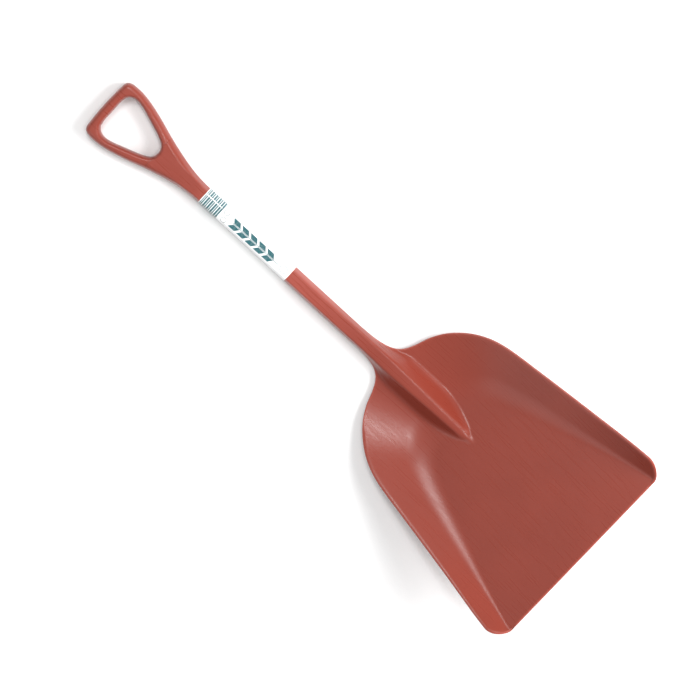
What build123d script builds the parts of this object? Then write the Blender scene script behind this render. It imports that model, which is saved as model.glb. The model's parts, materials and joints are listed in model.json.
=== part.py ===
from build123d import *
from math import asin, atan2, cos, degrees, hypot, radians, sin, sqrt, tan
import os

# A grain scoop shovel moulded in polypropylene: a wide pan-shaped blade, a straight shaft that
# runs down into the pan as a tapering ridge, and a D-shaped grip, with a film label round the
# shaft. Millimetres and degrees. +X is across the blade, +Y runs from the blade's front edge to
# the grip, +Z is up, and the scoop lies on its heel and its grip with the hollow side up.

# Driving dimensions
LIFT = 24.0  # angle between the blade's floor and the shaft
WALL = 4.0  # thickness of the moulding
TIP = 276.0  # from the front edge to the tip of the ridge, along the floor
REACH = 809.0  # from the tip of the ridge to the end of the grip, along the shaft
CORNER_RADIUS = 27.0  # front corners of the blade, seen from above
FRONT_CHAMFER = 2.0  # worn-in edge along the front of the floor
WALL_SLOPE = 45.0  # slope of the blade's walls, from the floor
FRONT_OVERRUN = 20.0  # how far the pan runs on before the front edge is cut
SHAFT_WIDTH = 30.0  # across the shaft's parting line
SHAFT_DEPTH = 30.0  # from the shaft's front face to its back face
SHAFT_FACE = 21.0  # width of the shaft's front and back faces
SHAFT_ROUND = 3.0  # rounding along the shaft's corners
CREST_WIDTH = 20.0  # flat top of the ridge
RIDGE_DRAFT = 40.0  # slope of the ridge's sides, from the vertical
RIDGE_DEPTH = 60.0  # how far the ridge's sides run down before the pan trims them
RIDGE_END = 190.0  # where the ridge meets the back wall, from its tip
HOLLOW_START = 45.0  # the open channel under the ridge starts here, from its tip
HOLLOW_END = 140.0  # and ends here
NECK = 240.0  # where the shaft leaves the blade's neck, from the tip of the ridge
GRIP_START = 213.0  # where the shaft starts to widen, from the end of the grip
GRIP_DEPTH = 29.0  # thickness of the grip
GRIP_ROUND = 8.0  # rounding round the outside of the grip
GUSSET_TOP = 12.5  # the neck's gusset lies this far below the shaft's front face
GUSSET_DEPTH = 8.0
GUSSET_EDGE = [(14.5, 238.0), (20.0, 205.0), (58.0, 176.0)]  # its hollow edge, in the shaft's plane
GUSSET_ROOT = (64.0, 150.0)  # its hidden end, inside the back wall
STUB_LENGTH = 75.0  # the shaft's end runs this far into the neck
GRIP_SIDE = [
    (51.0, REACH - 3.0),
    (56.0, REACH - 21.0),
    (53.0, REACH - 53.0),
    (38.5, REACH - 101.0),
    (25.0, REACH - 149.0),
    (15.0, REACH - GRIP_START),
]  # the grip's side, from its outer corner down to the shaft
GRIP_BEVEL = 4.5  # how far the grip's outside leans in, from its parting line to each face
GRIP_LAND = 1.0  # width of the parting line's band
CORNER_ROUND = 6.0  # the grip's outer corners
OPENING_TOP = (45.5, REACH - 17.0)  # corner of the finger opening under the outer bar
OPENING_SIDE = (33.0, REACH - 66.0)  # a point on its gently curved side
OPENING_FOOT = (15.0, REACH - 118.0)  # its corner nearest the shaft
OPENING_CLEAR = 1.0  # the opening's cut runs past each face by this
OPENING_CORNER = 10.0
OPENING_TOE = 12.0
LABEL_LENGTH = 190.0
LABEL_GAP = 7.0  # between the label and the start of the grip
LABEL_THICKNESS = 0.3

# The rim, by stations from the front edge round to the back: place across and along the floor,
# the direction that the wall leans in, the height of the rim and the floor-to-wall radius.
FRONT_CORNER = (193.2, 33.0)
SIDE = (169.0, 233.0)
STATIONS = [
    (199.0, -FRONT_OVERRUN, 7.0, 23.0, 6.0),
    (*FRONT_CORNER, 7.0, 24.0, 12.0),
    (*SIDE, 8.0, 30.0, 45.0),
    (158.0, 316.0, 18.0, 38.0, 75.0),
    (128.0, 391.0, 45.0, 46.0, 105.0),
    (70.0, 437.0, 72.0, 57.0, 150.0),
    (0.0, 450.0, 90.0, 62.0, 170.0),
]
RIM_PROFILE = [(-30.0, 23.0), (33.0, 24.0), (233.0, 30.0), (391.0, 46.0), (455.0, 61.0), (600.0, 66.0)]
RIM_CUT = 300.0  # reach of the cuts that trim the rim and the front
FRONT_CUT = 300.0
CORNER_START = (166.4, 0.0)
CORNER_ARC = 97.0  # the corner turns past square, to meet the splayed sides
HEEL_EASE = 0.5  # the pan's sweep, drawn through those levels, lies this far inside a true arc
RISES = [0.0, 2.5, 10.0, 22.0, 45.0, 100.0]  # levels at which the pan's wall is drawn

*_, BACK_END, _, BACK_HEIGHT, BACK_RADIUS = STATIONS[-1]


def run_out(radius, rise):
    """How far the wall has moved out from the edge of the flat floor when it has risen so far."""
    slope = radians(WALL_SLOPE)
    knee = radius * (1 - cos(slope))
    if rise <= knee:
        return sqrt(2 * radius * rise - rise * rise)
    return radius * sin(slope) + (rise - knee) / tan(slope)


# The pose: the ground touches the heel's curve and the grip's underside.
FLAT_END = BACK_END - run_out(BACK_RADIUS + WALL, BACK_HEIGHT + WALL)  # the floor's flat ends here
HEEL_RADIUS = BACK_RADIUS + WALL - HEEL_EASE
grip_y = TIP + (REACH - GRIP_ROUND) * cos(radians(LIFT)) + SHAFT_DEPTH * sin(radians(LIFT))
grip_z = (REACH - GRIP_ROUND) * sin(radians(LIFT)) - SHAFT_DEPTH * cos(radians(LIFT))
heel_to_grip = hypot(grip_y - FLAT_END, grip_z - BACK_RADIUS)
PITCH = degrees(
    atan2(grip_z - BACK_RADIUS, grip_y - FLAT_END) + asin(HEEL_RADIUS / heel_to_grip)
)
SHAFT_PITCH = LIFT - PITCH
heel_y = FLAT_END * cos(radians(PITCH)) + BACK_RADIUS * sin(radians(PITCH))
heel_z = -FLAT_END * sin(radians(PITCH)) + BACK_RADIUS * cos(radians(PITCH)) - HEEL_RADIUS
end_y = TIP * cos(radians(PITCH)) + REACH * cos(radians(SHAFT_PITCH))
FRONT_Y = -(end_y - WALL * sin(radians(PITCH))) / 2
FRONT_Z = -heel_z

# Working planes: the floor's upper face, the side view of the blade and the shaft's front face
floor = Plane(
    origin=(0, FRONT_Y, FRONT_Z),
    x_dir=(1, 0, 0),
    z_dir=(0, sin(radians(PITCH)), cos(radians(PITCH))),
)
side_view = Plane(origin=floor.origin, x_dir=floor.y_dir, z_dir=(1, 0, 0))
tip_point = floor.origin + floor.y_dir * TIP
shaft_face = Plane(
    origin=tip_point,
    x_dir=(1, 0, 0),
    z_dir=(0, -sin(radians(SHAFT_PITCH)), cos(radians(SHAFT_PITCH))),
)


def across_shaft(distance):
    """Plane square to the shaft, at a distance from the ridge's tip, +Y to the front face."""
    return Plane(
        origin=tip_point + shaft_face.y_dir * distance,
        x_dir=(-1, 0, 0),
        z_dir=shaft_face.y_dir,
    )


def pan_outline(rise, wall):
    """Half outline of the pan at one level, from the front round to the middle of the back."""
    points = []
    for across, along, lean, height, radius in STATIONS:
        out = run_out(radius + wall, rise) - run_out(radius + WALL, height + WALL)
        points.append((across + out * cos(radians(lean)), along + out * sin(radians(lean))))
    return points


def pan_level(rise, wall):
    """The pan's whole outline at one level, on a plane parallel to the floor."""
    lean = radians(STATIONS[0][2])
    with BuildSketch(floor.offset(rise - wall)) as level:
        with BuildLine():
            right = Spline(*pan_outline(rise, wall), tangents=[(-sin(lean), cos(lean)), (-1, 0)])
            left = mirror(right, about=Plane.YZ)
            Line(left @ 0, right @ 0)
        make_face()
    return level.sketch


def ridge_level(depth, start, end, half_width):
    """One level of the ridge, under the shaft's front face: straight sides and a round nose."""
    nose = start + half_width
    with BuildSketch(shaft_face.offset(-depth)) as level:
        with BuildLine():
            Line((half_width, nose), (half_width, end))
            Line((half_width, end), (-half_width, end))
            Line((-half_width, end), (-half_width, nose))
            ThreePointArc((-half_width, nose), (0, start), (half_width, nose))
        make_face()
    return level.sketch


def shaft_section(distance, grow=0.0):
    """The shaft's six-sided section: flat front and back, sides drafted to a parting line."""
    with BuildSketch(across_shaft(distance)) as section:
        with BuildLine():
            Polyline(
                (-SHAFT_FACE / 2, 0),
                (-SHAFT_WIDTH / 2, -SHAFT_DEPTH / 2),
                (-SHAFT_FACE / 2, -SHAFT_DEPTH),
                (SHAFT_FACE / 2, -SHAFT_DEPTH),
                (SHAFT_WIDTH / 2, -SHAFT_DEPTH / 2),
                (SHAFT_FACE / 2, 0),
                close=True,
            )
        make_face()
        fillet(section.vertices(), radius=SHAFT_ROUND)
        if grow:
            offset(amount=grow, mode=Mode.REPLACE)
    return section.sketch


# The pan's outer and inner shapes, used to build and trim the blade
with BuildPart() as outer_pan:
    loft([pan_level(rise, WALL) for rise in RISES])

with BuildPart() as inner_pan:
    loft([pan_level(rise, 0.0) for rise in RISES])

# The ridge: a drafted bar under the line of the shaft's front face, trimmed to the pan
ridge_growth = RIDGE_DEPTH * tan(radians(RIDGE_DRAFT))
with BuildPart() as ridge:
    top = ridge_level(0, 0, RIDGE_END, CREST_WIDTH / 2)
    foot = ridge_level(RIDGE_DEPTH, -ridge_growth, RIDGE_END, CREST_WIDTH / 2 + ridge_growth)
    loft([top, foot], ruled=True)
    add(outer_pan.part, mode=Mode.INTERSECT)

# The open channel under the ridge, so that its walls are as thick as the rest
channel_half = CREST_WIDTH / 2 + WALL * (tan(radians(RIDGE_DRAFT)) - 1 / cos(radians(RIDGE_DRAFT)))
with BuildPart() as channel:
    top = ridge_level(WALL, HOLLOW_START, HOLLOW_END, channel_half)
    foot = ridge_level(
        RIDGE_DEPTH, HOLLOW_START - ridge_growth, HOLLOW_END, channel_half + ridge_growth
    )
    loft([top, foot], ruled=True)

with BuildPart() as blade:
    add(outer_pan.part)
    # Gusset that carries the rim round into the sides of the shaft
    with BuildSketch(shaft_face.offset(-GUSSET_TOP)):
        with BuildLine():
            right = ThreePointArc(*GUSSET_EDGE)
            left = mirror(right, about=Plane.YZ)
            Line(left @ 0, right @ 0)
            Polyline(left @ 1, (-GUSSET_ROOT[0], GUSSET_ROOT[1]), GUSSET_ROOT, right @ 1)
        make_face()
    extrude(amount=-GUSSET_DEPTH)
    add(inner_pan.part, mode=Mode.SUBTRACT)
    # The rim, cut along its side profile
    with BuildSketch(side_view):
        with BuildLine():
            rim_line = Spline(*RIM_PROFILE)
            Polyline(
                rim_line @ 0,
                (RIM_PROFILE[0][0], RIM_CUT),
                (RIM_PROFILE[-1][0], RIM_CUT),
                rim_line @ 1,
            )
        make_face()
    extrude(amount=RIM_CUT, both=True, mode=Mode.SUBTRACT)
    # The front edge, straight, with a round at each corner
    with BuildSketch(floor.offset(-FRONT_CUT / 2)):
        with BuildLine():
            corner = JernArc(CORNER_START, (1, 0), CORNER_RADIUS, CORNER_ARC)
            Polyline(
                corner @ 1,
                (FRONT_CUT, (corner @ 1).Y),
                (FRONT_CUT, -FRONT_CUT),
                (0, -FRONT_CUT),
                (0, 0),
                corner @ 0,
            )
        make_face()
        mirror(about=Plane.YZ)
    extrude(amount=FRONT_CUT, mode=Mode.SUBTRACT)
    front_edge = blade.edges().filter_by(Axis.X).sort_by(Axis.Y)[:2].sort_by(Axis.Z)[-1]
    chamfer(front_edge, length=FRONT_CHAMFER)
    # The ridge and the end of the shaft, with the channel beneath
    add(ridge.part)
    add(extrude(shaft_section(NECK), amount=-STUB_LENGTH, mode=Mode.PRIVATE))
    add(channel.part, mode=Mode.SUBTRACT)

with BuildPart() as shaft:
    extrude(shaft_section(NECK), amount=REACH - GRIP_START - NECK)

through_grip = Axis(tip_point, shaft_face.z_dir)
with BuildPart() as d_grip:
    with BuildSketch(shaft_face.offset(-(SHAFT_DEPTH - GRIP_DEPTH))):
        with BuildLine():
            right = Spline(*GRIP_SIDE)
            left = mirror(right, about=Plane.YZ)
            ThreePointArc(left @ 0, (0, REACH), right @ 0)
            Line(left @ 1, right @ 1)
        make_face()
    extrude(amount=-GRIP_DEPTH)
    corners = d_grip.edges().filter_by(through_grip).sort_by(Axis.Y)[-2:]
    fillet(corners, radius=CORNER_ROUND)
    # Its outside is drafted to the same parting line as the shaft
    for face in d_grip.faces().sort_by(through_grip)[:: len(d_grip.faces()) - 1]:
        outer = face.edges().sort_by(Axis.Y)[1:]
        chamfer(outer, length=GRIP_BEVEL, length2=(GRIP_DEPTH - GRIP_LAND) / 2, reference=face)
    # The finger opening
    with BuildSketch(shaft_face.offset(OPENING_CLEAR)) as opening:
        with BuildLine():
            top = Line((-OPENING_TOP[0], OPENING_TOP[1]), OPENING_TOP)
            right = ThreePointArc(OPENING_TOP, OPENING_SIDE, OPENING_FOOT)
            mirror(right, about=Plane.YZ)
            Line((-OPENING_FOOT[0], OPENING_FOOT[1]), OPENING_FOOT)
        make_face()
        fillet(opening.vertices().group_by(Axis.Y)[-1], radius=OPENING_CORNER)
        fillet(opening.vertices().group_by(Axis.Y)[0], radius=OPENING_TOE)
    extrude(amount=-GRIP_DEPTH - 2 * OPENING_CLEAR, mode=Mode.SUBTRACT)

with BuildPart() as label:
    start = REACH - GRIP_START - LABEL_GAP - LABEL_LENGTH
    extrude(shaft_section(start, grow=LABEL_THICKNESS), amount=LABEL_LENGTH)
    extrude(shaft_section(start), amount=LABEL_LENGTH, mode=Mode.SUBTRACT)

os.makedirs("parts", exist_ok=True)
for name, piece in (("blade", blade), ("shaft", shaft), ("d_grip", d_grip), ("label", label)):
    piece.part.label = name
    export_step(piece.part, f"parts/{name}.step")
    print(name, piece.part.volume, piece.part.bounding_box(), piece.part.is_valid)
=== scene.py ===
"""Looks of a polypropylene grain scoop: one moulding and its film label, on a plain studio floor."""

import bpy
import json
import math
import numpy as np
from mathutils import Matrix, Vector


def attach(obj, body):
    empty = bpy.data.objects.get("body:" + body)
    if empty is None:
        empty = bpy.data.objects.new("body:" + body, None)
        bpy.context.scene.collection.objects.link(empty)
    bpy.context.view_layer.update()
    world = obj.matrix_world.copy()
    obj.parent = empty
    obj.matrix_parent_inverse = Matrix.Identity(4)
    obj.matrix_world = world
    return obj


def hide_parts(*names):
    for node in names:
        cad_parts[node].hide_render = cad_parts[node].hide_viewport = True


bl_info = {
    "name": "Grain Scoop",
    "version": (1, 0, 0),
    "blender": (4, 5, 0),
    "location": "3D View > Sidebar > Grain Scoop",
    "description": "Models a one-piece polypropylene grain scoop with its printed film label",
    "category": "Add Mesh",
}

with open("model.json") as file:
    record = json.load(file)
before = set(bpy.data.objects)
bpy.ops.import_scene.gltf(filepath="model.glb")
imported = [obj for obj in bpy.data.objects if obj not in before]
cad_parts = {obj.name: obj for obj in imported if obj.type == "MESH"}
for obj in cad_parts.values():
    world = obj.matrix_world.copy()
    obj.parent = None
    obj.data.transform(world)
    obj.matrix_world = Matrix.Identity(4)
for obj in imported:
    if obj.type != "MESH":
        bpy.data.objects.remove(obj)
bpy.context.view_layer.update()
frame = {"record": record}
MOUNTS = {mount["name"]: Vector(mount["pos_m"]) for mount in frame["record"]["mounts"]}
UNDERSIDE = next(mount for mount in frame["record"]["mounts"] if mount["name"] == "blade_underside")

# Lengths are in metres: MM turns millimetres to metres.
MM = 0.001

# The blade's own axes, taken from the flat face under it: x across, y along the floor from the
# front edge towards the grip, z square to the floor.
WALL = 4 * MM
UNDERSIDE_FROM_FRONT = 150 * MM
FLOOR_UP = -Vector(UNDERSIDE["axis"])
PITCH = math.atan2(FLOOR_UP.y, FLOOR_UP.z)
FLOOR_BACK = Vector((0, math.cos(PITCH), -math.sin(PITCH)))
FRONT = MOUNTS["blade_underside"] + FLOOR_UP * WALL - FLOOR_BACK * UNDERSIDE_FROM_FRONT

# The shaft, from two points on its middle line
SHAFT_DEPTH = 30 * MM
SHAFT_HALF = 15 * MM
FACE_HALF = 10.5 * MM
SHAFT_LINE = MOUNTS["hang_opening"] - MOUNTS["shaft_clip"]
LIFT = PITCH + math.atan2(SHAFT_LINE.z, SHAFT_LINE.y)
RISE = math.tan(LIFT)
COS_LIFT = math.cos(LIFT)
CLIP = MOUNTS["shaft_clip"] - FRONT
TIP = CLIP.dot(FLOOR_BACK) - (CLIP.dot(FLOOR_UP) + SHAFT_DEPTH / 2 / COS_LIFT) / RISE
SIDE_DRAFT = (SHAFT_DEPTH / 2) / (SHAFT_HALF - FACE_HALF)
REACH = 809 * MM

RIDGE_STEEP = 1.19
RIDGE_FILLET = 8.0 * MM
CREST_ROUND = 2.6 * MM
SHAFT_ROUND = 1.8 * MM
HEEL_EASE = 0.6 * MM

# Places along the blade's floor and, past the neck, along the shaft
BLADE_LENGTH = 450 * MM
NECK_START = 490 * MM
NECK_END = 505 * MM
NECK_REACH = (NECK_END - TIP) / COS_LIFT
END = NECK_END + REACH - NECK_REACH
GRIP_START = END - 213 * MM
LABEL_GAP = 7 * MM
FILM_GAP = 0.03 * MM

# The rim, by stations from the front round to the back, in mm and degrees: place of its outer edge
# across and along the floor, the direction that the wall leans in, the rim's height, the wall's
# slope and the floor-to-wall radius.
STATIONS = [
    (199.0, -20.0, 7.0, 25.0, 54.0, 7.0),
    (193.0, 30.0, 7.0, 24.0, 46.0, 11.0),
    (187.0, 88.0, 7.0, 21.0, 34.0, 26.0),
    (176.5, 171.0, 7.5, 22.5, 27.0, 60.0),
    (168.3, 232.0, 8.0, 26.5, 27.0, 80.0),
    (159.5, 300.0, 11.0, 31.5, 26.0, 105.0),
    (147.3, 353.0, 27.0, 34.0, 25.0, 130.0),
    (119.5, 398.0, 48.0, 36.0, 23.0, 180.0),
    (76.8, 429.5, 66.0, 45.0, 25.5, 165.0),
    (0.0, 450.0, 90.0, 59.0, 30.0, 150.0),
]
RIM_WIDTH = 4.2 * MM
RIM_THICKNESS = 3.6 * MM

# The outline in plan, right half, in mm: across and along
CORNER = (166.4, 27.0)
CORNER_RADIUS = 27.0
CORNER_TURN = math.radians(97)
SIDE = [
    (190.7, 57.0),
    (187.4, 84.3),
    (180.5, 138.0),
    (170.2, 219.2),
    (163.1, 273.2),
    (159.5, 300.1),
    (154.9, 327.0),
    (147.3, 353.0),
    (135.3, 377.0),
    (119.5, 398.0),
    (99.6, 416.0),
    (76.8, 429.5),
    (50.5, 439.5),
    (35.5, 447.0),
    (25.7, 456.5),
    (20.5, 467.0),
    (17.3, 480.0),
    (15.5, 494.0),
    (15.0, 506.0),
]
# The grip's outline and its finger opening, in mm: across and back from the grip's end
GRIP_SIDE = [
    (15.0, 213.0),
    (15.9, 197.0),
    (18.0, 181.0),
    (25.0, 149.0),
    (34.0, 117.0),
    (44.5, 85.0),
    (53.0, 53.0),
    (55.6, 37.0),
    (56.0, 21.0),
    (55.0, 11.5),
    (52.4, 6.0),
    (47.5, 2.9),
    (40.0, 2.0),
    (20.0, 0.7),
    (0.0, 0.3),
]
OPENING = [
    (0.0, 118.0),
    (7.0, 116.8),
    (13.0, 113.0),
    (17.0, 107.5),
    (20.2, 101.0),
    (26.0, 85.5),
    (31.8, 69.0),
    (37.4, 52.5),
    (40.0, 41.0),
    (39.8, 32.2),
    (36.5, 24.4),
    (31.0, 20.0),
    (24.0, 18.4),
    (0.0, 17.9),
]


SAMPLES = 900
SMOOTHING = 121


# ---- Curves and shapes -------------------------------------------------------------------------
def lengths(line):
    """Distance from the line's start to each of its points, in plan."""
    steps = np.linalg.norm(np.diff(line[:, :2], axis=0), axis=1)
    return np.concatenate([[0], np.cumsum(steps)])


def along(line, shares):
    """Points on the line at the given shares of its length."""
    length = lengths(line)
    at = np.asarray(shares) * length[-1]
    return np.stack([np.interp(at, length, column) for column in line.T], axis=1)


def spline(points, count):
    """A smooth curve through the points, as count samples evenly spread by distance."""
    p = np.array(points, float)
    chord = lengths(p)
    slope = np.gradient(p, chord, axis=0)
    t = np.linspace(0, chord[-1], count * 4)
    i = np.clip(np.searchsorted(chord, t, side="right") - 1, 0, len(p) - 2)
    h = (chord[i + 1] - chord[i])[:, None]
    u = (t - chord[i])[:, None] / h
    fine = (
        (2 * u**3 - 3 * u**2 + 1) * p[i]
        + (u**3 - 2 * u**2 + u) * h * slope[i]
        + (3 * u**2 - 2 * u**3) * p[i + 1]
        + (u**3 - u**2) * h * slope[i + 1]
    )
    return along(fine, np.linspace(0, 1, count))


def ease(t):
    """0 to 1 as t goes from 0 to 1, level at both ends."""
    t = np.clip(t, 0, 1)
    return t * t * (3 - 2 * t)


def soft_ramp(t, k):
    """0 below -k, t above k, and a parabola between."""
    return np.where(t < -k, 0.0, np.where(t > k, t, (t + k) ** 2 / (4 * k)))


def soft_max(a, b, k):
    """The larger of two heights, blended where they differ by less than k."""
    return b + soft_ramp(a - b, k)


def soft_min(a, b, k):
    """The smaller of two heights, blended where they differ by less than k."""
    return -soft_max(-a, -b, k)


def distance(line, x, y):
    """Distance of each point from the line, the nearest sample, and on which side it lies."""
    px, py = np.abs(x).ravel(), y.ravel()
    tangent = np.gradient(line[:, :2], axis=0)
    tangent /= np.linalg.norm(tangent, axis=1)[:, None]
    found = []
    for start in range(0, px.size, 3000):
        part = slice(start, start + 3000)
        gap_x = px[part, None] - line[None, :, 0]
        gap_y = py[part, None] - line[None, :, 1]
        square = gap_x**2 + gap_y**2
        best = square.argmin(1)
        rows = np.arange(best.size)
        gx, gy = gap_x[rows, best], gap_y[rows, best]
        tx, ty = tangent[best].T
        side = gx * ty - gy * tx
        lengthwise = gx * tx + gy * ty
        spacing = np.linalg.norm(line[1, :2] - line[0, :2])
        true = np.where(np.abs(lengthwise) < 2 * spacing, np.abs(side), np.sqrt(square[rows, best]))
        found.append((true, best + np.clip(lengthwise / spacing, -1, 1), np.sign(side)))
    return [np.concatenate(column).reshape(x.shape) for column in zip(*found)]


# ---- The moulding's surfaces -------------------------------------------------------------------
def floor_edge():
    """The edge of the flat floor, with the floor-to-wall radius and the wall's slope at each point."""
    rows = []
    for x, y, lean, height, slope, radius in STATIONS:
        slope = math.radians(slope)
        out = RIM_WIDTH / MM + height / math.tan(slope) + radius * math.tan(slope / 2)
        a = math.radians(lean)
        rows.append((x - out * math.cos(a), y - out * math.sin(a), radius, slope / MM))
    rows += [(-x, *rest) for x, *rest in rows[-2::-1]]
    line = spline(rows, 2 * SAMPLES)
    # Two moving averages take out the stations' unevenness. The line runs on straight ahead of the front.
    lead = line[0] - (line[1] - line[0]) * np.arange(SMOOTHING, 0, -1)[:, None]
    line = np.concatenate([lead, line])
    window = np.full(SMOOTHING, 1 / SMOOTHING)
    for _ in range(2):
        line = np.stack([np.convolve(column, window, "same") for column in line.T], 1)
    return line[SMOOTHING : SMOOTHING + SAMPLES] * MM


def outline():
    """The right half of the moulding's outline, from the front corner round to the grip's end."""
    turn = np.linspace(-math.pi / 2, CORNER_TURN - math.pi / 2, 60)
    corner = CORNER + CORNER_RADIUS * np.stack([np.cos(turn), np.sin(turn)], 1)
    side = spline([tuple(corner[-1])] + SIDE, SAMPLES)
    grip = spline([(x, END / MM - back) for x, back in GRIP_SIDE], SAMPLES)
    return np.concatenate([corner[:-1], side, grip]) * MM


def opening():
    """The right half of the finger opening's outline, from its foot round to the outer bar."""
    return spline([(x, END / MM - back) for x, back in OPENING], SAMPLES) * MM


def floor_y(v):
    """Distance along the floor: past the neck, v runs along the shaft."""
    return np.where(v < NECK_END, v, NECK_END + (v - NECK_END) * COS_LIFT)


def wall_height(d, radius, slope):
    """Height of the wall at a distance d outside the floor's edge."""
    reach = radius * np.sin(slope)
    bend = radius - np.sqrt(np.maximum(radius**2 - np.clip(d, 0, reach) ** 2, 0))
    return bend + np.maximum(d - reach, 0) * np.tan(slope)


def wall_at(x, y):
    """Distance outside the floor's edge, the floor-to-wall radius and the wall's slope."""
    outside, place, side = distance(FLOOR_EDGE, x, y)
    samples = np.arange(len(FLOOR_EDGE))
    radius, slope = (np.interp(place, samples, FLOOR_EDGE[:, i]) for i in (2, 3))
    return np.where(side > 0, outside, 0), radius, slope


def crest(y):
    """Height of the shaft's front face above the plane of the floor."""
    return (y - TIP) * RISE


def rim_heights():
    """Height of the rim at each sample of the outline: where the wall is a rim's width from it."""
    tangent = np.gradient(EDGE, axis=0)
    tangent /= np.linalg.norm(tangent, axis=1)[:, None]
    inside = EDGE + RIM_WIDTH * np.stack([-tangent[:, 1], tangent[:, 0]], 1)
    height = wall_height(*wall_at(inside[:, 0], np.minimum(inside[:, 1], BLADE_LENGTH)))
    return np.convolve(np.pad(height, 20, mode="edge"), np.full(41, 1 / 41), mode="valid")


FLOOR_EDGE = floor_edge()
OUTLINE = outline()
EDGE = along(OUTLINE, np.linspace(0, 1, 4000))
FINGERS = opening()
RIM_HEIGHTS = rim_heights()


def ridge(x, y, inset):
    """Front face and sides of the ridge and the shaft, or of the channel inside them."""
    steep = RIDGE_STEEP + (SIDE_DRAFT - RIDGE_STEEP) * ease((y - 425 * MM) / (75 * MM))
    half = FACE_HALF * (0.6 + 0.4 * ease((y - TIP) / (180 * MM)))
    half = half * (0.4 + 0.6 * ease((y - TIP) / (16 * MM)))
    over = soft_ramp(np.abs(x) - half + inset * 0.6, CREST_ROUND)
    return crest(y) - (inset + steep * over) / COS_LIFT


def skins(x, v):
    """Heights of the front and the back of the moulding over the plan."""
    y = floor_y(v)
    wall = wall_at(x, y)
    neck = ease((v - NECK_START) / (NECK_END - NECK_START))
    to_rim, place, _ = distance(EDGE, x, v)
    # The pan, and the ridge that the shaft runs into it as
    rim = np.interp(place, np.arange(len(EDGE)), RIM_HEIGHTS) + 2 * np.maximum(to_rim - 6 * MM, 0)
    rim = soft_max(rim, crest(y) - SHAFT_DEPTH / 2 / COS_LIFT, 5 * MM)
    pan = soft_min(wall_height(*wall), rim - neck * 3.5 * MM, 1.0 * MM)
    front = soft_max(pan, ridge(x, y, 0), RIDGE_FILLET)
    outside, radius, slope = wall
    shell = wall_height(outside, radius + WALL, slope) - WALL + HEEL_EASE
    shell = soft_min(shell, rim - RIM_THICKNESS * (1 - neck) + neck * 3.5 * MM, 1.0 * MM)
    over = soft_ramp(np.abs(x) - FACE_HALF, SHAFT_ROUND)
    shaft_back = crest(y) - (SHAFT_DEPTH - SIDE_DRAFT * over) / COS_LIFT
    shaft_back = shaft_back + 2 * soft_ramp(405 * MM - y, 6 * MM)
    channel = ridge(x, y, 4.5 * MM) - 3 * soft_ramp(y - 400 * MM, 4 * MM)
    back = soft_max(soft_min(shell, shaft_back, 2.5 * MM), channel, 2 * MM)
    # The shaft and the grip
    grip = ease((v - GRIP_START + 5 * MM) / (90 * MM))
    side_fall = SIDE_DRAFT * soft_ramp(SHAFT_HALF - FACE_HALF - to_rim, SHAFT_ROUND) * (1 - grip)
    handle = v > NECK_END
    front = np.where(handle, crest(y) - (1.0 * MM * grip + side_fall) / COS_LIFT, front)
    back = np.where(handle, crest(y) - (SHAFT_DEPTH - side_fall) / COS_LIFT, back)
    # Rounded edges
    stem = ease((v - GRIP_START) / (60 * MM))
    limbs = ease((v - END + 130 * MM) / (40 * MM))
    width = (2.0 + 9.0 * stem - 3.0 * limbs) * MM + 1.2 * MM * (1 - ease(v / (40 * MM)))
    nearest = np.minimum(to_rim, np.where(np.abs(x) < CORNER[0] * MM, v, to_rim))
    to_fingers, _, beyond = distance(FINGERS, x, v)
    round_off = edge(nearest, width) * edge(to_fingers, 6 * MM)
    middle = (front + back) / 2
    half = np.maximum(front - back, 0.02 * MM) / 2 * round_off
    return middle + half, middle - half


def join_skins(front, back, down):
    """Makes the two skins meet exactly along the outline and round the finger opening."""
    seam = np.zeros(front.shape, dtype=bool)
    seam[0] = True
    seam[:, -1] = True
    seam[:, 0] = seam[:, 0] | (down[:, 0] > FINGERS[0, 1] - 0.001 * MM)
    middle = (front + back) / 2
    return np.where(seam, middle, front), np.where(seam, middle, back)


def rim_highlight_mask(x, v):
    """Where a painted highlight goes: 1 at the blade's rim and front edge, falling to 0 within 3.5 mm of
    them.
    """
    to_rim = distance(EDGE, x, v)[0]
    nearest = np.minimum(to_rim, np.where(x < CORNER[0] * MM, v, to_rim))
    return np.clip(1 - nearest / (3.5 * MM), 0, 1) * ease((NECK_END - v) / (20 * MM))


def edge(d, width):
    """Quarter of an ellipse: 0 at the edge, 1 where the surface is flat."""
    return np.sqrt(1 - (1 - np.clip(d / width, 0, 1)) ** 2)


def to_frame(x, v, z):
    """Points of the moulding in the frame's axes. Along the shaft, height is square to the shaft."""
    y = floor_y(v)
    tilt = LIFT * ease((v - NECK_END - 10 * MM) / (120 * MM))
    up = (z - crest(y)) * COS_LIFT / np.cos(LIFT - tilt)
    y = y - up * np.sin(tilt)
    z = crest(floor_y(v)) + up * np.cos(tilt)
    points = np.stack([x, y, z], axis=-1)
    axes = np.array([(1, 0, 0), FLOOR_BACK, FLOOR_UP])
    return points @ axes + np.array(FRONT)


# ---- The plan's mesh lines ---------------------------------------------------------------------
EDGE_LAYERS = np.array([0, 0.05, 0.2, 0.5, 0.9, 1.4, 2.1, 3.0, 4.4, 6.5]) * MM
CREST_LINES = np.array(
    [0, 3, 6, 8, 9.2, 10.2, 11.2, 12.4, 14, 16, 18, 20, 22, 24, 26, 28, 30, 32.5, 35, 37.5, 40]
)


def spread(start, end, step):
    """Even places from start up to end, at most a step apart, without the end."""
    return np.linspace(start, end, max(2, math.ceil((end - start) / step) + 1))[:-1]


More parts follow.
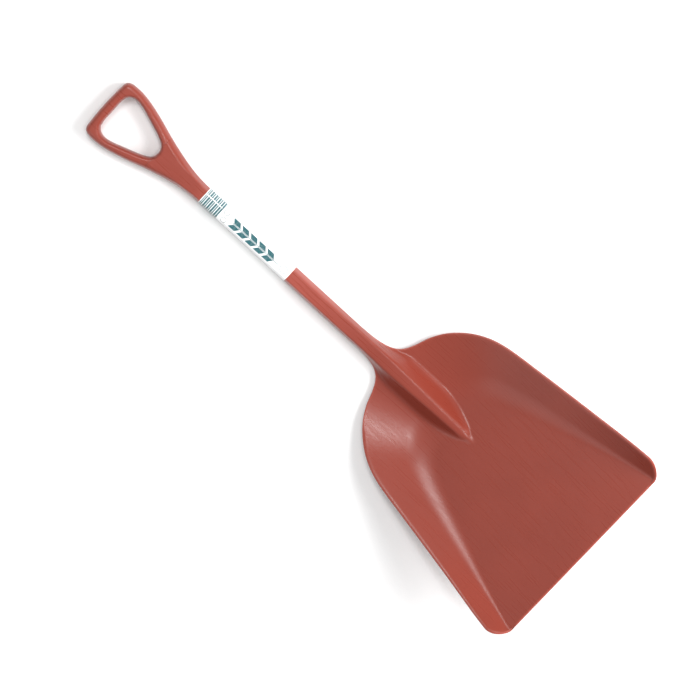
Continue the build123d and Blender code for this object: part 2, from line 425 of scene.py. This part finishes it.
def plan():
    """Places across and along of the right half's mesh lines: one row for each line across."""
    foot = FINGERS[0, 1]
    v = np.concatenate([
        EDGE_LAYERS[:-1],
        spread(6.5 * MM, 30 * MM, 3 * MM),
        spread(30 * MM, 250 * MM, 4 * MM),
        spread(250 * MM, 430 * MM, 2.4 * MM),
        spread(430 * MM, NECK_END, 1.25 * MM),
        spread(NECK_END, GRIP_START, 12 * MM),
        spread(GRIP_START, foot - 6.5 * MM, 4 * MM),
        foot - EDGE_LAYERS[::-1],
    ])
    half = np.interp(v, OUTLINE[:, 1], OUTLINE[:, 0])
    shares = np.linspace(0, 1, 85)[1:]
    rest = OUTLINE[OUTLINE[:, 1] > foot]
    inner = np.concatenate([np.stack([0 * v, v], 1), along(FINGERS, shares)])
    outer = np.concatenate([np.stack([half, v], 1), along(rest, shares)])
    length = np.linalg.norm(outer - inner, axis=1)
    limb = np.arange(len(inner)) >= len(v)
    # Bounds of the four bands of mesh lines: ridge, floor, wall and edge
    floor_at = np.interp(inner[:, 1], FLOOR_EDGE[:, 1], FLOOR_EDGE[:, 0], right=0)
    steps = np.gradient(OUTLINE, axis=0)
    slant = np.abs(steps[:, 1]) / np.linalg.norm(steps, axis=1)
    lean = np.interp(inner[:, 1], OUTLINE[:, 1], 1 / np.clip(slant, 0.4, 1))
    ridge_end = np.where(limb, 0.42 * length, np.minimum(40 * MM, 0.62 * length))
    edge_start = length - np.where(limb, 0.5 * length, np.minimum(6.5 * MM * lean, 0.18 * length))
    floor_end = np.maximum(floor_at - 2 * MM, ridge_end + 0.15 * (edge_start - ridge_end))
    lines = CREST_LINES / CREST_LINES[-1]
    inner_layers = np.linspace(0, 1, len(lines)) ** 1.8
    lines = np.where(limb[:, None], inner_layers, lines)
    layers = EDGE_LAYERS[::-1] / EDGE_LAYERS[-1]

    def between(start, end, shares):
        return start[:, None] + (end - start)[:, None] * shares

    places = np.concatenate([
        lines * ridge_end[:, None],
        between(ridge_end, floor_end, np.linspace(0, 1, 11)[1:]),
        between(floor_end, edge_start, np.linspace(0, 1, 27)[1:]),
        between(edge_start, length, 1 - layers[1:]),
    ], axis=1)
    share = (places / length[:, None])[..., None]
    points = inner[:, None] * (1 - share) + outer[:, None] * share
    return points[..., 0], points[..., 1]


# ---- Mesh helpers ------------------------------------------------------------------------------
def deselect_all():
    if bpy.context.object and bpy.context.object.mode != "OBJECT":
        bpy.ops.object.mode_set(mode="OBJECT")
    bpy.ops.object.select_all(action="DESELECT")


def apply(piece, kind, **settings):
    """Adds a modifier with these settings and applies it."""
    modifier = piece.modifiers.new(kind.title(), kind)
    for name, value in settings.items():
        setattr(modifier, name, value)
    bpy.context.view_layer.objects.active = piece
    bpy.ops.object.modifier_apply(modifier=modifier.name)


def grid(name, points):
    """A grid primitive whose lines are laid on the points, one row of points for each row."""
    rows, columns = points.shape[:2]
    deselect_all()
    bpy.ops.mesh.primitive_grid_add(x_subdivisions=columns - 1, y_subdivisions=rows - 1, size=1)
    piece = bpy.context.object
    piece.name = name
    flat = np.empty(len(piece.data.vertices) * 3)
    piece.data.vertices.foreach_get("co", flat)
    flat = flat.reshape(-1, 3)
    column = np.rint((flat[:, 0] + 0.5) * (columns - 1)).astype(int)
    row = np.rint((flat[:, 1] + 0.5) * (rows - 1)).astype(int)
    piece.data.vertices.foreach_set("co", points[row, column].ravel())
    piece.data.update()
    return piece


# ---- Materials ---------------------------------------------------------------------------------
def linear(value):
    """sRGB hex to linear colour."""
    parts = [int(value[i:i + 2], 16) / 255 for i in (1, 3, 5)]
    return (*[c / 12.92 if c <= 0.04045 else ((c + 0.055) / 1.055) ** 2.4 for c in parts], 1.0)


def node(tree, kind, settings=None, **inputs):
    """Adds a shader node. An input takes a value or another node's socket."""
    made = tree.nodes.new("ShaderNode" + kind)
    for name, value in (settings or {}).items():
        setattr(made, name, value)
    for name, value in inputs.items():
        key = int(name[1:]) if name[0] == "_" else name.replace("_", " ")
        socket = made.inputs[key]
        if isinstance(value, bpy.types.NodeSocket):
            tree.links.new(value, socket)
        else:
            socket.default_value = value
    return made


def material(name):
    """A node material with no nodes yet."""
    made = bpy.data.materials.new(name)
    made.use_nodes = True
    made.node_tree.nodes.clear()
    return made


def math_node(tree, operation, *values):
    """The result of a sum on values or sockets."""
    inputs = {f"_{i}": value for i, value in enumerate(values)}
    return node(tree, "Math", {"operation": operation}, **inputs).outputs[0]


def remap(tree, value, low, high, to_low=0.0, to_high=1.0):
    """The value, scaled from one range to another and held at its ends."""
    ends = {"From_Min": low, "From_Max": high, "To_Min": to_low, "To_Max": to_high}
    return node(tree, "MapRange", Value=value, **ends).outputs[0]


def satin_polypropylene(settings):
    """Injection-moulded polypropylene, coloured through: a waxy satin skin with a fine spark grain, which
    gives broad soft highlights, and faint flow clouds and scuffs. A pale tone is painted on: along the
    shaft it is partly handling wear and partly painted light, and along the blade's rim and front edge it
    is a painted highlight."""
    made = material("Polypropylene_satin_moulded")
    tree = made.node_tree
    place = node(tree, "TexCoord").outputs["Object"]
    clouds = node(tree, "TexNoise", Vector=place, Scale=1 / 0.09, Detail=3.0, Roughness=0.5)
    grain = node(tree, "TexNoise", Vector=place, Scale=1 / 0.0032, Detail=2.0, Roughness=0.6)
    lengthwise = node(
        tree, "Mapping", Vector=place, Scale=(1 / 0.004, 1 / 0.11, 1 / 0.03), Rotation=(0, 0, 0.06)
    ).outputs[0]
    scuffs = node(tree, "TexNoise", Vector=lengthwise, Scale=1.0, Detail=4.0, Roughness=0.62).outputs[0]
    red, green, blue, _ = settings.plastic
    dark = (red * 0.97, green * 0.97, blue * 0.97, 1.0)
    light = (red * 1.03, green * 1.03, blue * 1.03, 1.0)
    rubbed_and_lit = (red * 1.6, green * 2.0, blue * 2.4, 1.0)
    tone = math_node(
        tree,
        "ADD",
        remap(tree, clouds.outputs[0], 0.35, 0.65),
        remap(tree, grain.outputs[0], 0.3, 0.7, -0.25, 0.25),
    )
    fresh = node(tree, "MixRGB", Fac=tone, Color1=dark, Color2=light)
    # A pale tone painted on. Along the shaft, and less on the grip, it is partly handling wear and partly
    # painted light standing in for the brighter light on the shaft. Along the blade's rim and front edge
    # it is a painted highlight, a thin light line.
    lengthways = node(tree, "SeparateXYZ", Vector=place).outputs[1]
    streaks = remap(tree, scuffs, 0.35, 0.6, 0.6)
    handled_and_lit = math_node(tree, "MULTIPLY", remap(tree, lengthways, -0.07, 0.09, 0.0, 0.9), streaks)
    handled_and_lit = math_node(tree, "MULTIPLY", handled_and_lit, remap(tree, lengthways, 0.29, 0.33, 1.0, 0.4))
    # Mask for the painted highlight along the blade's rim and front edge
    lit_edge = node(tree, "Attribute", {"attribute_name": "painted_rim_highlight"}).outputs["Fac"]
    wear_and_painted_light = math_node(tree, "MAXIMUM", handled_and_lit, math_node(tree, "MULTIPLY", lit_edge, 0.9))
    colour = node(tree, "MixRGB", Fac=wear_and_painted_light, Color1=fresh.outputs[0], Color2=rubbed_and_lit)
    bump = node(tree, "Bump", Height=grain.outputs[0], Strength=0.16, Distance=0.0004)
    shader = node(
        tree,
        "BsdfPrincipled",
        Base_Color=colour.outputs[0],
        Roughness=remap(tree, scuffs, 0.3, 0.75, 0.25, 0.34),
        Normal=bump.outputs[0],
        IOR=1.49,
    )
    node(tree, "OutputMaterial", Surface=shader.outputs[0])
    return made


def band(tree, value, low, high):
    """1 where the value lies between low and high."""
    above = math_node(tree, "GREATER_THAN", value, low)
    return math_node(tree, "MULTIPLY", above, math_node(tree, "LESS_THAN", value, high))


# The label's print, in mm: across from the middle of the front, down from the end by the grip
BARS_END = 37.0
EAR_START = 68.0
EAR_END = 160.0
KERNEL_PITCH = 18.4
RINGS = [(-7.0, 50.0, 5.2), (6.5, 47.0, 5.2), (0.0, 177.0, 7.2)]
RING_GREY = linear("#6F787D")


def printed_bars(tree, across, down):
    """Uneven bars across the shaft with a clear line through them, closed by a wider bar."""
    broad = math_node(tree, "SINE", math_node(tree, "MULTIPLY", down, 2 * math.pi / 3.9))
    fine = math_node(tree, "SINE", math_node(tree, "MULTIPLY_ADD", down, 2 * math.pi / 2.6, 1.0))
    bars = math_node(tree, "GREATER_THAN", math_node(tree, "MULTIPLY_ADD", fine, 0.6, broad), -0.45)
    bars = math_node(tree, "MULTIPLY", bars, band(tree, down, 1.5, BARS_END))
    unprinted = math_node(tree, "SUBTRACT", 1.0, band(tree, across, 6.2, 8.0))
    bars = math_node(tree, "MULTIPLY", bars, unprinted)
    return math_node(tree, "MAXIMUM", bars, band(tree, down, BARS_END - 1.0, BARS_END + 1.2))


def printed_ear(tree, across, down):
    """An ear of grain: pairs of leaning kernels on a thin stem."""
    wide = math_node(tree, "ABSOLUTE", across)
    lean = math_node(tree, "MULTIPLY_ADD", wide, 0.75, down)
    cell = math_node(tree, "MODULO", math_node(tree, "SUBTRACT", lean, EAR_START), KERNEL_PITCH)
    kernels = band(tree, cell, 0.0, KERNEL_PITCH * 0.76)
    kernels = math_node(tree, "MULTIPLY", kernels, band(tree, wide, 1.1, 9.3))
    kernels = math_node(tree, "MULTIPLY", kernels, band(tree, lean, EAR_START, EAR_END))
    stem = math_node(tree, "LESS_THAN", wide, 0.55)
    stem = math_node(tree, "MULTIPLY", stem, band(tree, down, EAR_START - 4, EAR_END + 6))
    return math_node(tree, "MAXIMUM", kernels, stem)


def printed_rings(tree, across, down):
    """Thin round outlines."""
    rings = 0.0
    for x, y, radius in RINGS:
        dx = math_node(tree, "SUBTRACT", across, x)
        dy = math_node(tree, "SUBTRACT", down, y)
        square = math_node(tree, "MULTIPLY_ADD", dx, dx, math_node(tree, "MULTIPLY", dy, dy))
        gap = math_node(tree, "SQRT", square)
        rings = math_node(tree, "MAXIMUM", band(tree, gap, radius - 1.2, radius), rings)
    return rings


def printed_film(settings):
    """Screen printed white polyester film: a smooth, slightly glossy skin, which keeps the label crisp and
    brighter than the plastic, with teal ink a little rubbed and soft ripples that break the sheen."""
    made = material("Polyester_film_screen_printed")
    tree = made.node_tree
    place = node(tree, "UVMap").outputs[0]
    across, down, _ = node(tree, "SeparateXYZ", Vector=place).outputs
    ink = math_node(tree, "MAXIMUM", printed_bars(tree, across, down), printed_ear(tree, across, down))
    rub = node(tree, "TexNoise", Vector=place, Scale=0.35, Detail=3.0, Roughness=0.7).outputs[0]
    ink = math_node(tree, "MULTIPLY", ink, remap(tree, rub, 0.3, 0.5, 0.82, 1.0))
    ring = math_node(tree, "MULTIPLY", printed_rings(tree, across, down), 0.8)
    paper = node(tree, "MixRGB", Fac=ring, Color1=settings.film[:], Color2=RING_GREY)
    colour = node(tree, "MixRGB", Fac=ink, Color1=paper.outputs[0], Color2=settings.ink[:])
    ripples = node(tree, "TexNoise", Vector=place, Scale=0.12, Detail=2.0)
    bump = node(tree, "Bump", Height=ripples.outputs[0], Strength=0.25, Distance=0.0004)
    shader = node(
        tree,
        "BsdfPrincipled",
        Base_Color=colour.outputs[0],
        Roughness=0.34,
        Normal=bump.outputs[0],
        IOR=1.5,
    )
    node(tree, "OutputMaterial", Surface=shader.outputs[0])
    return made


def plain(name, colour, roughness):
    """One colour and one roughness, for the studio."""
    made = material(name)
    shader = node(made.node_tree, "BsdfPrincipled", Base_Color=linear(colour), Roughness=roughness)
    node(made.node_tree, "OutputMaterial", Surface=shader.outputs[0])
    return made


# ---- The label ---------------------------------------------------------------------------------
LABEL_TOP = GRIP_START - LABEL_GAP
AXIS_DEPTH = SHAFT_DEPTH / 2 / COS_LIFT


def section(grow):
    """The shaft's section, grown outwards: across, and up from its front face. It starts and ends
    at the middle of the front."""
    v = np.full(120, (NECK_END + GRIP_START) / 2)
    x = SHAFT_HALF * np.sin(np.linspace(0, math.pi / 2, 120))
    front, back = (height - crest(floor_y(v)) for height in skins(x, v))
    right = np.concatenate([np.stack([x, front], 1), np.stack([x, back], 1)[-2::-1]])
    loop = along(np.concatenate([right, (right * (-1, 1))[-2::-1]]), np.linspace(0, 1, 400))
    tangent = np.gradient(loop, axis=0)
    tangent[0] = tangent[-1] = (1, 0)
    tangent /= np.linalg.norm(tangent, axis=1)[:, None]
    grown = loop + grow * np.stack([-tangent[:, 1], tangent[:, 0]], 1)
    return along(grown, np.linspace(0, 1, 97))


def lay_print(piece):
    """Unrolls the label's UV map, in mm: across from the middle of its front, down from its top."""
    mesh = piece.data
    top = np.array(LABEL_TOP)
    middle = Vector(to_frame(np.array(0.0), top, crest(floor_y(top)) - AXIS_DEPTH))
    axis = SHAFT_LINE.normalized()
    up = Vector((1, 0, 0)).cross(axis)
    loop = section(0.0)
    turns_round = np.unwrap(np.arctan2(loop[:, 0], loop[:, 1] + AXIS_DEPTH))
    length_round = lengths(loop)
    for polygon in mesh.polygons:
        corners = [mesh.vertices[mesh.loops[i].vertex_index].co - middle for i in polygon.loop_indices]
        turns = [math.atan2(corner.x, corner.dot(up)) for corner in corners]
        if max(turns) - min(turns) > math.pi:
            turns = [turn % (2 * math.pi) for turn in turns]
        for i, corner, turn in zip(polygon.loop_indices, corners, turns):
            across = np.interp(turn % (2 * math.pi), turns_round, length_round)
            if turn < 0:
                across -= length_round[-1]
            mesh.uv_layers.active.data[i].uv = (across / MM, -corner.dot(axis) / MM)


# ---- Settings ----------------------------------------------------------------------------------
class ScoopSettings(bpy.types.PropertyGroup):
    plastic: bpy.props.FloatVectorProperty(
        name="Plastic",
        description="Colour of the moulding",
        subtype="COLOR",
        size=4,
        default=linear("#7F3427"),
    )
    film: bpy.props.FloatVectorProperty(
        name="Film",
        description="Colour of the label's film",
        subtype="COLOR",
        size=4,
        default=linear("#F4F6F6"),
    )
    ink: bpy.props.FloatVectorProperty(
        name="Ink",
        description="Colour of the label's print",
        subtype="COLOR",
        size=4,
        default=linear("#1F5A61"),
    )
    label_length: bpy.props.FloatProperty(
        name="Label length",
        description="Length of the label along the shaft",
        default=190 * MM,
        unit="LENGTH",
    )
    film_thickness: bpy.props.FloatProperty(
        name="Film thickness", description="Thickness of the label", default=0.2 * MM, unit="LENGTH"
    )
    floor_size: bpy.props.FloatProperty(
        name="Floor size", description="Side of the studio floor", default=12.0, unit="LENGTH"
    )


# ---- Operators ---------------------------------------------------------------------------------
class SCOOP_OT_moulding(bpy.types.Operator):
    """Model the blade, shaft and grip as the one moulding that they are"""

    bl_idname = "scoop.moulding"
    bl_label = "Moulding"

    def execute(self, context):
        across, down = plan()
        front, back = join_skins(*skins(across, down), down)
        piece = grid("scoop_moulding", to_frame(across, down, front))
        under = grid("scoop_back", to_frame(across, down, back))
        # Both skins carry the mask for the painted highlight along the blade's rim and front edge
        for half in (piece, under):
            lit_edge = half.data.attributes.new("painted_rim_highlight", "FLOAT", "POINT")
            lit_edge.data.foreach_set("value", rim_highlight_mask(across, down).ravel())
        bpy.ops.object.mode_set(mode="EDIT")
        bpy.ops.mesh.select_all(action="SELECT")
        bpy.ops.mesh.flip_normals()
        bpy.ops.object.mode_set(mode="OBJECT")
        piece.select_set(True)
        context.view_layer.objects.active = piece
        bpy.ops.object.join()
        apply(piece, "MIRROR", use_axis=(True, False, False), merge_threshold=0.005 * MM)
        bpy.ops.object.mode_set(mode="EDIT")
        bpy.ops.mesh.select_all(action="SELECT")
        bpy.ops.mesh.remove_doubles(threshold=0.005 * MM)
        bpy.ops.mesh.normals_make_consistent(inside=False)
        bpy.ops.object.mode_set(mode="OBJECT")
        bpy.ops.object.shade_smooth()
        piece.data.materials.append(satin_polypropylene(context.scene.scoop))
        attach(piece, "root")
        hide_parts("blade", "shaft", "d_grip")
        return {"FINISHED"}


class SCOOP_OT_label(bpy.types.Operator):
    """Model the printed film label round the shaft"""

    bl_idname = "scoop.label"
    bl_label = "Label"

    def execute(self, context):
        settings = context.scene.scoop
        loop = section(settings.film_thickness + FILM_GAP)
        deselect_all()
        bpy.ops.mesh.primitive_cylinder_add(vertices=len(loop), radius=1, depth=2, end_fill_type="NOTHING")
        piece = context.object
        piece.name = "label_film"
        bpy.ops.object.mode_set(mode="EDIT")
        bpy.ops.mesh.select_all(action="SELECT")
        bpy.ops.mesh.bisect(plane_co=(0, 0, 0), plane_no=(0, 0, 1))
        bpy.ops.object.mode_set(mode="OBJECT")
        places = []
        for vertex in piece.data.vertices:
            turn = math.atan2(vertex.co.x, vertex.co.y) / (2 * math.pi) % 1
            x, z = along(loop, [turn])[0]
            v = LABEL_TOP - settings.label_length * (1 - vertex.co.z) / 2
            places.append((x, v, z))
        x, v, z = np.array(places).T
        piece.data.vertices.foreach_set("co", to_frame(x, v, z + crest(floor_y(v))).ravel())
        piece.data.update()
        lay_print(piece)
        apply(piece, "SOLIDIFY", thickness=settings.film_thickness, offset=-1)
        deselect_all()
        piece.select_set(True)
        bpy.ops.object.shade_smooth_by_angle(angle=math.radians(40))
        piece.data.materials.append(printed_film(settings))
        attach(piece, "root")
        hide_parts("label")
        return {"FINISHED"}


class SCOOP_OT_stage(bpy.types.Operator):
    """Set up the floor, the lights and the camera"""

    bl_idname = "scoop.stage"
    bl_label = "Stage"

    def execute(self, context):
        deselect_all()
        bpy.ops.mesh.primitive_plane_add(size=context.scene.scoop.floor_size, location=(0, 0, -0.2 * MM))
        floor = context.object
        floor.name = "studio_floor"
        floor.data.materials.append(plain("Studio_floor_matt_paint", "#F2F2F2", 0.9))
        world = bpy.data.worlds.new("Studio")
        context.scene.world = world
        world.use_nodes = True
        background = next(n for n in world.node_tree.nodes if n.type == "BACKGROUND")
        background.inputs[0].default_value = (1, 1, 1, 1)
        background.inputs[1].default_value = WORLD_LIGHT
        for name, direction, away, size, power, glossy in LIGHTS:
            bpy.ops.object.light_add(type="AREA")
            light = context.object
            light.name = name
            light.data.shape = "DISK"
            light.data.size = size
            light.data.energy = power
            light.visible_glossy = glossy
            towards = Vector(direction).normalized()
            light.location = LIGHT_CENTRE + towards * away
            light.rotation_euler = towards.to_track_quat("Z", "Y").to_euler()
        bpy.ops.object.camera_add()
        camera = context.object
        camera.name = "camera"
        camera.data.sensor_width = SENSOR
        camera.data.lens = LENS
        azimuth, elevation, roll = (math.radians(a) for a in (AZIMUTH, ELEVATION, ROLL))
        back = Vector((
            math.sin(azimuth) * math.cos(elevation),
            -math.cos(azimuth) * math.cos(elevation),
            math.sin(elevation),
        ))
        turn = back.to_track_quat("Z", "Y").to_matrix() @ Matrix.Rotation(roll, 3, "Z")
        camera.matrix_world = Matrix.Translation(AIM + back * CAMERA_DISTANCE) @ turn.to_4x4()
        context.scene.camera = camera
        context.scene.view_settings.view_transform = "Standard"
        return {"FINISHED"}


# The camera, in metres and degrees: where it aims, from which side and how far
AIM = Vector((-0.0213, -0.0341, 0.05))
CAMERA_DISTANCE = 4.8991
AZIMUTH = 115.981
ELEVATION = 80.482
ROLL = -163.245
SENSOR = 36.0
LENS = 154.29

WORLD_LIGHT = 0.48
LIGHT_CENTRE = Vector((0, -0.1, 0))
# name, direction, distance, diameter, watts, seen in reflections
LIGHTS = [
    ("key_softbox", (0.31, 0.50, 0.81), 2.6, 0.8, 20.0, True),
    ("top_softbox", (0.22, -0.02, 0.97), 3.0, 0.36, 14.0, True),
    ("strip_softbox", (0.62, -0.35, 0.70), 2.6, 0.5, 9.0, True),
    ("main_softbox", (0.58, -0.58, 0.57), 3.0, 2.2, 120.0, False),
    ("fill_softbox", (-0.62, 0.45, 0.64), 2.6, 1.8, 8.0, True),
]


class SCOOP_PT_panel(bpy.types.Panel):
    bl_label = "Grain Scoop"
    bl_idname = "SCOOP_PT_panel"
    bl_space_type = "VIEW_3D"
    bl_region_type = "UI"
    bl_category = "Grain Scoop"

    def draw(self, context):
        for name in ScoopSettings.__annotations__:
            self.layout.prop(context.scene.scoop, name)
        for operator in OPERATORS:
            self.layout.operator(operator.bl_idname)


OPERATORS = (SCOOP_OT_moulding, SCOOP_OT_label, SCOOP_OT_stage)
CLASSES = (ScoopSettings, *OPERATORS, SCOOP_PT_panel)


def register():
    for each in CLASSES:
        bpy.utils.register_class(each)
    bpy.types.Scene.scoop = bpy.props.PointerProperty(type=ScoopSettings)


def unregister():
    del bpy.types.Scene.scoop
    for each in reversed(CLASSES):
        bpy.utils.unregister_class(each)


def main():
    register()
    bpy.ops.scoop.moulding()
    bpy.ops.scoop.label()
    bpy.ops.scoop.stage()


if __name__ == "__main__":
    main()
